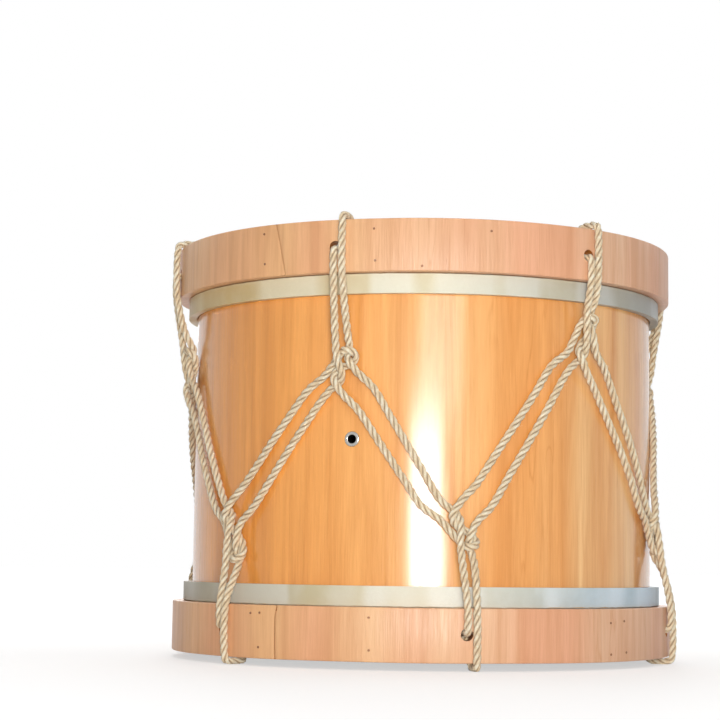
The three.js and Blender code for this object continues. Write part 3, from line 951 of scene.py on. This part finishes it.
# How a rope is laid: three strands wound round its line. The mesh keeps, for the material, how far
# each point stands out of the lay, and a map along and round each strand for its yarns.
rope_lay = 0.0225
strand_count = 3
strand_offset = 0.00166
strand_radius = 0.00158
strand_breadth = 1.14
strand_corners = [math.radians(a) for a in (0, 38, 76, 114, 180, 246, 284, 322)]
rope_spacing = 0.0015
rope_fuzz = 0.00013
hairs_per_metre = 420
hair_radius = 0.00008
hair_length = (0.002, 0.0045)
hair_lean = (0.6, 1.6)
hair_bend = 0.001
hair_root = 0.85
# The hairs count as crowns, so they take part of the painted highlight and none of the painted lay
# shade.
hair_crown = 0.9
hair_rings = ((0, 1.0), (0.55, 0.8))
hair_corners = (0, 2.1, 4.2)
not_along_rope = (0.3, 0.2, 0.9)
rope_random = random.Random(5)


def turning_frames(line):
    """Directions across the line that turn with it as little as they can."""
    along = np.gradient(line, axis=0)
    along /= np.linalg.norm(along, axis=1)[:, None]
    across = np.zeros_like(along)
    start = np.cross(along[0], not_along_rope)
    across[0] = start / np.linalg.norm(start)
    for i in range(1, len(line)):
        kept = across[i - 1] - along[i] * np.dot(across[i - 1], along[i])
        across[i] = kept / np.linalg.norm(kept)
    return along, across, np.cross(along, across)


def above_floor(spot):
    spot[2] = max(spot[2], 0.0)
    return spot


def lay_rope(points):
    """The vertices, faces, map and crown values of a rope laid along this route."""
    vertices, faces, maps, crowns = [], [], [], []
    line, reach = smooth_line(points, rope_spacing)
    along, across, third = turning_frames(line)
    sides = len(strand_corners)
    for strand in range(strand_count):
        turn = 2 * math.pi * (reach / rope_lay + strand / strand_count)
        outwards = np.cos(turn)[:, None] * across + np.sin(turn)[:, None] * third
        sideways = -np.sin(turn)[:, None] * across + np.cos(turn)[:, None] * third
        first = len(vertices)
        for i in range(len(line)):
            for angle in strand_corners:
                thick = strand_radius + rope_random.uniform(-rope_fuzz, rope_fuzz)
                spot = line[i] + outwards[i] * (strand_offset + thick * math.cos(angle))
                spot = spot + sideways[i] * thick * strand_breadth * math.sin(angle)
                vertices.append(above_floor(spot))
                crowns.append(0.5 + 0.5 * math.cos(angle))
        for i in range(len(line) - 1):
            row, after = first + i * sides, first + (i + 1) * sides
            for j in range(sides):
                k = (j + 1) % sides
                faces.append((row + j, row + k, after + k, after + j))
                u0 = strand_corners[j] / (2 * math.pi)
                u1 = strand_corners[k] / (2 * math.pi) if k else 1.0
                v0, v1 = reach[i], reach[i + 1]
                maps.append(((u0, v0), (u1, v0), (u1, v1), (u0, v1)))
        last = first + (len(line) - 1) * sides
        faces.append(tuple(first + j for j in reversed(range(sides))))
        faces.append(tuple(last + j for j in range(sides)))
        maps += [[(0.5, reach[0])] * sides, [(0.5, reach[-1])] * sides]
    for _ in range(int(reach[-1] * hairs_per_metre)):
        i = rope_random.randrange(2, len(line) - 2)
        turn = rope_random.uniform(0, 2 * math.pi)
        outwards = math.cos(turn) * across[i] + math.sin(turn) * third[i]
        if outwards @ (line[i][0], line[i][1], 0) < 0:
            outwards = -outwards
        lean = along[i] * rope_random.choice((-1, 1)) * rope_random.uniform(*hair_lean)
        way = (outwards + lean) / np.linalg.norm(outwards + lean)
        hair = way * rope_random.uniform(*hair_length)
        root = line[i] + outwards * rope_radius * hair_root
        side_on = np.cross(outwards, along[i])
        first = len(vertices)
        for share, thick in hair_rings:
            for a in hair_corners:
                off_line = (outwards * math.cos(a) + side_on * math.sin(a)) * hair_radius * thick
                vertices.append(above_floor(root + hair * share + off_line))
        bend = side_on * rope_random.uniform(-hair_bend, hair_bend)
        vertices.append(above_floor(root + hair + bend))
        crowns += [hair_crown] * 7
        spot = (0.5, reach[i])
        for a, b in ((0, 1), (1, 2), (2, 0)):
            faces.append((first + a, first + b, first + b + 3, first + a + 3))
            faces.append((first + a + 3, first + b + 3, first + 6))
            maps += [[spot] * 4, [spot] * 3]
        faces.append((first + 2, first + 1, first))
        maps.append([spot] * 3)
    return vertices, faces, maps, crowns


rope, tree, shader = new_material("rope")
crown = painted(tree, "crown")
strand_map = tree.nodes.new("ShaderNodeUVMap")
strand_map.uv_map = "strand_map"
yarns_round, yarn_twist = 7.0, 180
twisted = stretched(tree, strand_map.outputs["UV"], (1, yarn_twist, 1))
round_strand, along_strand, _ = split(tree, twisted)
yarn_turn = math_node(tree, "SUBTRACT", times(tree, round_strand, yarns_round), along_strand)
yarns = math_node(tree, "SINE", times(tree, yarn_turn, 2 * math.pi))
yarn_crown = spread(tree, yarns, -1, 1)
here = object_place(tree)
fibre = noise_mask(tree, here, scale=1400, low=0.3, high=0.7, roughness=0.6)
patches = noise_mask(tree, here, scale=190, low=0.38, high=0.62, roughness=0.6)
# Painted shade darkens the lay between the strands, and painted highlights lighten the crowns of
# the strands and of their yarns.
groove_floor, groove_edge = 0.2, 0.75
crown_sharpness = 6.0
yarn_strength, fibre_strength = 0.3, 0.3
painted_lay_shade = spread(tree, crown, groove_floor, groove_edge)
painted_crown_highlight = times(tree, math_node(tree, "POWER", crown, crown_sharpness), patches)
jute = mixed(tree, patches, (0.81, 0.62, 0.39, 1), (0.95, 0.80, 0.57, 1))
yarn_highlighted = mixed(tree, times(tree, yarn_crown, yarn_strength), jute, (0.95, 0.83, 0.58, 1))
crown_highlighted = mixed(tree, painted_crown_highlight, yarn_highlighted, (1.0, 0.97, 0.80, 1))
haired = mixed(tree, times(tree, fibre, fibre_strength), crown_highlighted, (0.58, 0.43, 0.24, 1))
shaded = mixed(tree, painted_lay_shade, (0.48, 0.32, 0.17, 1), haired)
tree.links.new(shaded, shader.inputs["Base Color"])
shader.inputs["Roughness"].default_value = 0.85
shader.inputs["Specular IOR Level"].default_value = 0.2
shader.inputs["Sheen Weight"].default_value = 0.25
set_relief(tree, shader, math_node(tree, "ADD", yarn_crown, fibre), strength=0.6, depth=0.0004)


def make_rope(name, points, node):
    vertices, faces, maps, crowns = lay_rope(points)
    mesh = bpy.data.meshes.new(name)
    mesh.from_pydata([tuple(v) for v in vertices], [], faces)
    flat_map = [x for corners in maps for uv in corners for x in uv]
    mesh.uv_layers.new(name="strand_map").data.foreach_set("uv", flat_map)
    mesh.attributes.new("crown", "FLOAT", "POINT").data.foreach_set("value", crowns)
    piece = bpy.data.objects.new(name, mesh)
    bpy.context.scene.collection.objects.link(piece)
    hand_over(piece, rope, [node], smooth_angle=70)


# The lacing is one rope: down from the rim, in a zigzag round the drum, in at each hole and back
# over the rim beside it. Its two ends are tied inside the top rim at the back.
lugs_in_order = [pair for top, low in zip(top_lugs, bottom_lugs) for pair in ((top, 1), (low, -1))]
knot_index = 8
lacing_order = lugs_in_order[knot_index:] + lugs_in_order[:knot_index]
knot_lug = lacing_order[0][0]
lacing = []
for index, (lug, side) in enumerate(lacing_order):
    if index > 0:
        arriving = near_hitch(to_hole, lug, side)
        lacing += along_shell(lacing[-1], arriving[0]) + arriving + into_hole(lug, side)
    lacing += over_rim(lug, side) + near_hitch(from_loop, lug, side)
closing = near_hitch(to_hole, knot_lug, 1)
lacing_end = along_shell(lacing[-1], closing[0]) + closing + into_hole(knot_lug, 1)
reef_half = [
    (-2.2, -0.56, 0.5),
    (-1.3, -0.66, 1.0),
    (-0.35, -1.15, 0.55),
    (0.3, -1.45, 0.1),
    (1.0, -1.4, 0.35),
    (1.6, -0.85, 0.9),
    (1.85, 0.0, 1.05),
    (1.6, 0.85, 0.9),
    (1.0, 1.4, 0.35),
    (0.3, 1.45, 0.1),
    (-0.35, 1.15, 0.55),
    (-1.3, 0.66, 1.0),
]
reef_reach = 3
reef_depth = 1.05


def reef_points(half, way, centre, run, out):
    """Half of a reef knot, in rope diameters along its run, across it and out from its bed."""
    across = out.cross(run)
    spots = []
    for along, up, off in half:
        lift = off if way > 0 or abs(along) > reef_reach else reef_depth - off
        offset = run * way * along + across * way * up + out * lift
        spots.append(centre + offset * rope_diameter)
    return spots


def outward(angle):
    return (place(angle, 1, 0) - place(angle, 0, 0)).normalized()


inwards = -outward(knot_lug["angle"])
upwards = Vector((0, 0, 1))
knot_centre = place(knot_lug["angle"], rope_in, (hole_level + loop_level) / 2)
low_tail = [(-1.9, 1.2, 1.5), (-2.1, 2.4, 1.8), (-2.2, 4.0, 2.2)]
high_tail = [(-1.9, 1.2, 0.2), (-1.6, 2.4, 0.4), (-1.0, 3.8, 0.9)]
low_half = reef_points(reef_half[1:] + low_tail, 1, knot_centre, upwards, inwards)
high_half = reef_points(reef_half[1:] + high_tail, -1, knot_centre, upwards, inwards)
lacing = list(reversed(high_half)) + lacing[2:] + lacing_end[:-2] + low_half
make_rope("lacing_rope_laid", lacing, "lacing_rope")

# The tension rope runs beside every strand of the lacing and hitches each pair of them together.
# Its ends are reef-knotted on the shell at the back, where it is drawn tight.
hitches = []
for lug, side in lugs_in_order[knot_index + 1 :] + lugs_in_order[: knot_index + 1]:
    hitch = near_hitch(hitch_turns, lug, side)
    if hitches:
        hitches += along_shell(hitches[-1], hitch[0])
    hitches += hitch
closing = along_shell(hitches[-1], hitches[0])
tie = closing[1]
tie_out = outward(angle_of(tie))
tie_run = (closing[2] - closing[0]).normalized()
standing = [(-5.5, -0.75, 0.0), (-3.6, -0.62, 0.1)]
loose = [(-2.2, 0.56, 0.5), (-3.6, 0.75, 0.0), (-5.2, 1.3, 0.0)]
tie_half = standing + reef_half + loose
first_half = reef_points(tie_half, 1, tie, tie_run, tie_out)
second_half = reef_points(tie_half, -1, tie, tie_run, tie_out)
make_rope("tension_rope_laid", list(reversed(second_half)) + hitches + first_half, "tension_rope")

# The drum stands on a plain pale floor, which keeps its shadow, in a plain studio. To the camera,
# and to what gloss mirrors, the floor fades to white and the studio is white. To all other light
# they are an ordinary pale floor and a dim surround.
floor_size = 30
fade_from, fade_to = 0.3, 1.4
near_white = 0.55
surround_strength = 0.06
plain_floor = (0.8, 0.8, 0.8, 1)
near_floor, far_floor = (0.45, 0.45, 0.45, 1), (0, 0, 0, 1)


def seen_white(tree):
    """1 for the rays of the camera and those that gloss mirrors or clear stuff lets through."""
    path = tree.nodes.new("ShaderNodeLightPath").outputs
    mirrored = math_node(tree, "MAXIMUM", path["Is Glossy Ray"], path["Is Transmission Ray"])
    return math_node(tree, "MAXIMUM", path["Is Camera Ray"], mirrored)


clear_selection()
bpy.ops.mesh.primitive_plane_add(size=1, location=(0, 0, 0))
floor = bpy.context.object
floor.name = "floor"
floor.scale = (floor_size, floor_size, 1)
bpy.ops.object.transform_apply(location=False, rotation=False, scale=True)
floor_paint, tree, shader = new_material("floor_paint")
shader.inputs["Roughness"].default_value = 0.8
shader.inputs["Emission Color"].default_value = (1, 1, 1, 1)
distance = tree.nodes.new("ShaderNodeVectorMath")
distance.operation = "LENGTH"
tree.links.new(object_place(tree), distance.inputs[0])
far_out = spread(tree, distance.outputs["Value"], fade_from, fade_to)
lift = math_node(tree, "ADD", times(tree, far_out, 1 - near_white), near_white)
seen = seen_white(tree)
tree.links.new(times(tree, seen, lift), shader.inputs["Emission Strength"])
seen_floor = mixed(tree, far_out, near_floor, far_floor)
tree.links.new(mixed(tree, seen, plain_floor, seen_floor), shader.inputs["Base Color"])
give_material(floor, floor_paint)

world = bpy.data.worlds.new("studio")
bpy.context.scene.world = world
world.use_nodes = True
tree = world.node_tree
tree.nodes.clear()
either = tree.nodes.new("ShaderNodeMixShader")
tree.links.new(seen_white(tree), either.inputs[0])
for socket, strength in ((either.inputs[1], surround_strength), (either.inputs[2], 1.0)):
    background = tree.nodes.new("ShaderNodeBackground")
    background.inputs["Color"].default_value = (1.0, 1.0, 1.0, 1)
    background.inputs["Strength"].default_value = strength
    tree.links.new(background.outputs[0], socket)
output = tree.nodes.new("ShaderNodeOutputWorld")
tree.links.new(either.outputs[0], output.inputs["Surface"])


def softbox(name, at, aim, size, power):
    lamp = bpy.data.lights.new(name, "AREA")
    lamp.shape = "RECTANGLE"
    lamp.size, lamp.size_y = size
    lamp.energy = power
    holder = bpy.data.objects.new(name, lamp)
    bpy.context.scene.collection.objects.link(holder)
    holder.location = at
    holder.rotation_euler = (Vector(aim) - Vector(at)).to_track_quat("-Z", "Y").to_euler()


# The light is soft. The lamps in front, one above the other, mirror in the varnish as the upright
# glow of the photograph, and the others light the drum's sides, back and top.
softbox("front_lamp", (0.0, -2.1, 0.18), aim=(0, 0, 0.18), size=(0.5, 0.3), power=18.5)
softbox("low_lamp", (0.06, -2.1, 0.07), aim=(0, 0, 0.1), size=(0.6, 0.13), power=5)
softbox("upper_lamp", (0.25, -2.05, 0.5), aim=(0, 0, 0.2), size=(0.7, 0.34), power=4.5)
softbox("high_lamp", (0.25, -1.9, 1.6), aim=(0, 0, 0.2), size=(0.8, 0.8), power=4)
softbox("left_lamp", (-2.0, 1.6, 1.6), aim=(0, 0, 0.2), size=(1.2, 1.2), power=7)
softbox("right_lamp", (2.0, 1.6, 1.6), aim=(0, 0, 0.2), size=(1.2, 1.2), power=7)
softbox("back_lamp", (0.0, 2.2, 1.2), aim=(0, 0, 0.2), size=(1.4, 1.4), power=20)
softbox("overhead_lamp", (0.0, 0.0, 2.6), aim=(0, 0, 0), size=(2.4, 2.4), power=23)

# The camera is the photograph's, fitted to the edges of the hoops. It stands low and a little left
# of the drum and looks slightly up, so that the drum sits low in the picture.
camera_at = (-0.0639, -1.7598, middle - 0.09815)
camera_yaw = -0.0042
camera_pitch = 0.1031
camera_roll = -0.0125
focal_pixels = 1952.8
picture_pixels = 720
camera_data = bpy.data.cameras.new("photo_camera")
camera_data.sensor_width = 36.0
camera_data.lens = focal_pixels / picture_pixels * camera_data.sensor_width
camera = bpy.data.objects.new("photo_camera", camera_data)
bpy.context.scene.collection.objects.link(camera)
camera.matrix_world = (
    Matrix.Translation(camera_at)
    @ Matrix.Rotation(camera_yaw, 4, "Z")
    @ Matrix.Rotation(math.pi / 2 + camera_pitch, 4, "X")
    @ Matrix.Rotation(-camera_roll, 4, "Z")
)
bpy.context.scene.camera = camera
bpy.context.scene.view_settings.view_transform = "Standard"
